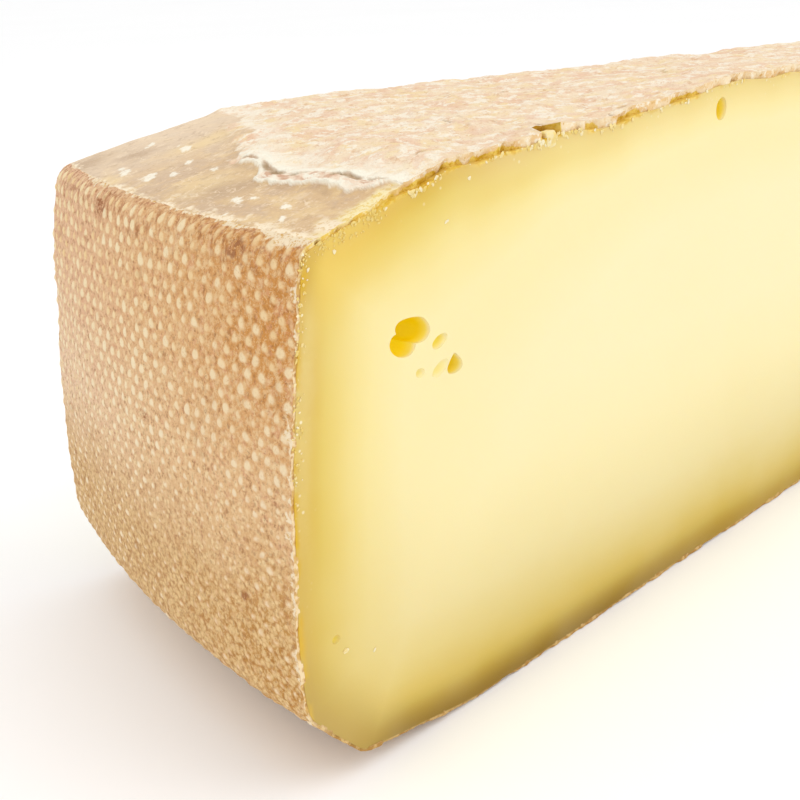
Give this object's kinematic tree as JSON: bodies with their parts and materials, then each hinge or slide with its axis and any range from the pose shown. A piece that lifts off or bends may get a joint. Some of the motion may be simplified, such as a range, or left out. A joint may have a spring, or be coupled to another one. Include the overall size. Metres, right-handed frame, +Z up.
{
  "type": "mountain cheese wedge",
  "caption": "Wedge of a hard mountain cheese wheel with a net-printed rind, pale paste and small eyes, standing on its flat underside",
  "frame": {"origin": "middle of the bounding box's footprint, on the surface that the wedge stands on", "axes": "+Z up, +X from the heel to the tip along the near cut, which is flat and faces -Y; the far cut is turned 20.2 degrees from it"},
  "size_m": [0.292, 0.1008, 0.1096],
  "materials": {
    "cheese": "satin, waxy cut paste inside a rough, dry, tan rind"
  },
  "bodies": {
    "root": {"cheese_wedge": "cheese"}
  },
  "joints": []
}
